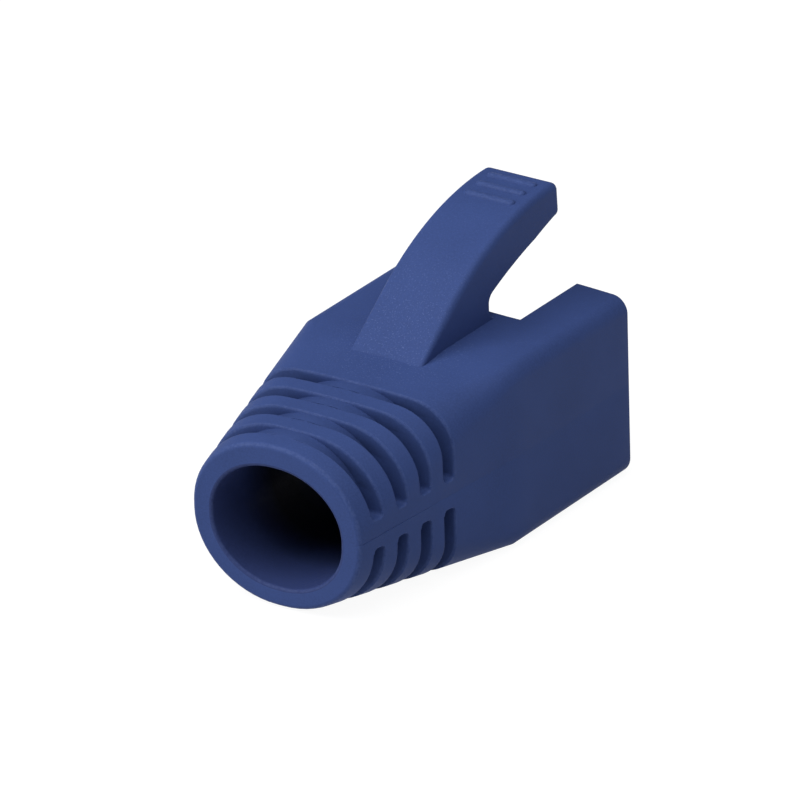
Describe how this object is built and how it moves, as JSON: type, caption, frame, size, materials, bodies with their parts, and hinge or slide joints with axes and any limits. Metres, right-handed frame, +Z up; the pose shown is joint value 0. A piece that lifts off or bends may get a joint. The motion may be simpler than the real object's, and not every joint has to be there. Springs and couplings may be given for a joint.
{
  "type": "rj45 strain relief boot",
  "caption": "Slip-on strain relief boot for a modular plug: square sleeve with a latch notch, ribbed collar tapering to an oval cable mouth, and a curved latch guard tongue.",
  "frame": {"origin": "middle of the part's box across and along, at the height of its flat floor", "axes": "+X across to the boot's right as seen from the cable mouth, +Y from the cable mouth to the plug end, +Z up from the floor to the tongue"},
  "size_m": [0.014, 0.0246, 0.0167],
  "materials": {
    "boot": "satin, finely grained soft plastic, blue all through"
  },
  "bodies": {
    "root": {"boot": "boot"}
  },
  "joints": []
}
